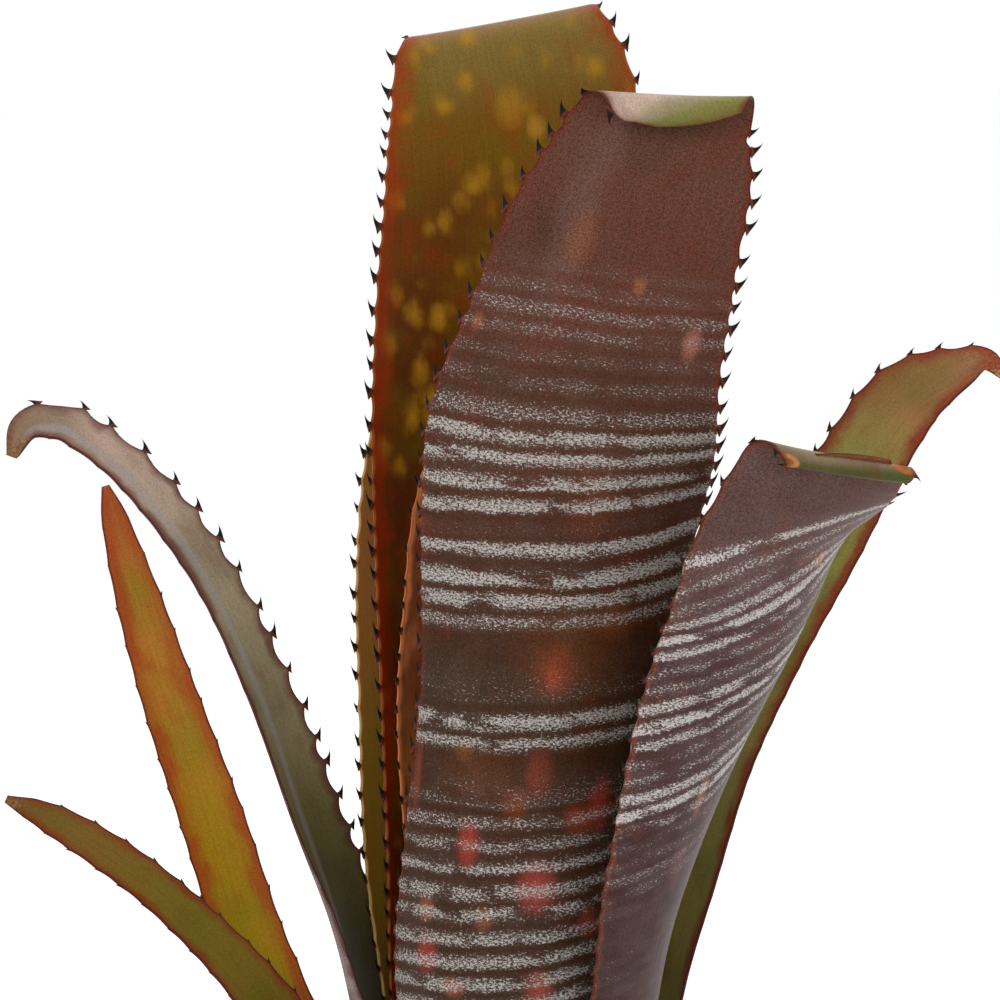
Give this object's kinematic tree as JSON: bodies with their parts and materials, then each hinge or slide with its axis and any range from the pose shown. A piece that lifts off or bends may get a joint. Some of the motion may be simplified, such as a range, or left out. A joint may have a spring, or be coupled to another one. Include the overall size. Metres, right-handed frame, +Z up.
{
  "type": "potted bromeliad",
  "caption": "Upright tubular bromeliad with broad spiny strap leaves, silver cross bands and curled tips, growing in a plain tapered nursery pot.",
  "frame": {"origin": "centre of the pot's flat foot, on the surface it stands on", "axes": "+Z up the plant, -Y towards the viewer that the broad banded leaf faces, +X to the viewer's right"},
  "size_m": [0.2919, 0.1899, 0.5036],
  "materials": {
    "pot_plastic": "dark moulded plastic, slightly rough",
    "potting_mix": "loose bark, peat and a little perlite",
    "stem": "fibrous plant stem",
    "inner_leaf_skin": "satin living leaf",
    "front_leaf_skin": "satin living leaf",
    "back_leaf_skin": "satin living leaf",
    "back_left_leaf_skin": "satin living leaf",
    "right_leaf_skin": "satin living leaf",
    "left_arching_leaf_skin": "satin living leaf",
    "right_back_leaf_skin": "satin living leaf",
    "left_low_leaf_skin": "satin living leaf",
    "left_back_leaf_skin": "satin living leaf",
    "basal_leaf_skin": "satin ageing leaf, drying at the tip"
  },
  "bodies": {
    "root": {"pot": "pot_plastic", "potting_mix": "potting_mix", "stem": "stem", "inner_leaf": "inner_leaf_skin", "front_leaf": "front_leaf_skin", "back_leaf": "back_leaf_skin", "back_left_leaf": "back_left_leaf_skin", "right_leaf": "right_leaf_skin", "left_arching_leaf": "left_arching_leaf_skin", "right_back_leaf": "right_back_leaf_skin", "left_low_leaf": "left_low_leaf_skin", "left_back_leaf": "left_back_leaf_skin", "basal_leaf_front": "basal_leaf_skin", "basal_leaf_right": "basal_leaf_skin"}
  },
  "joints": []
}
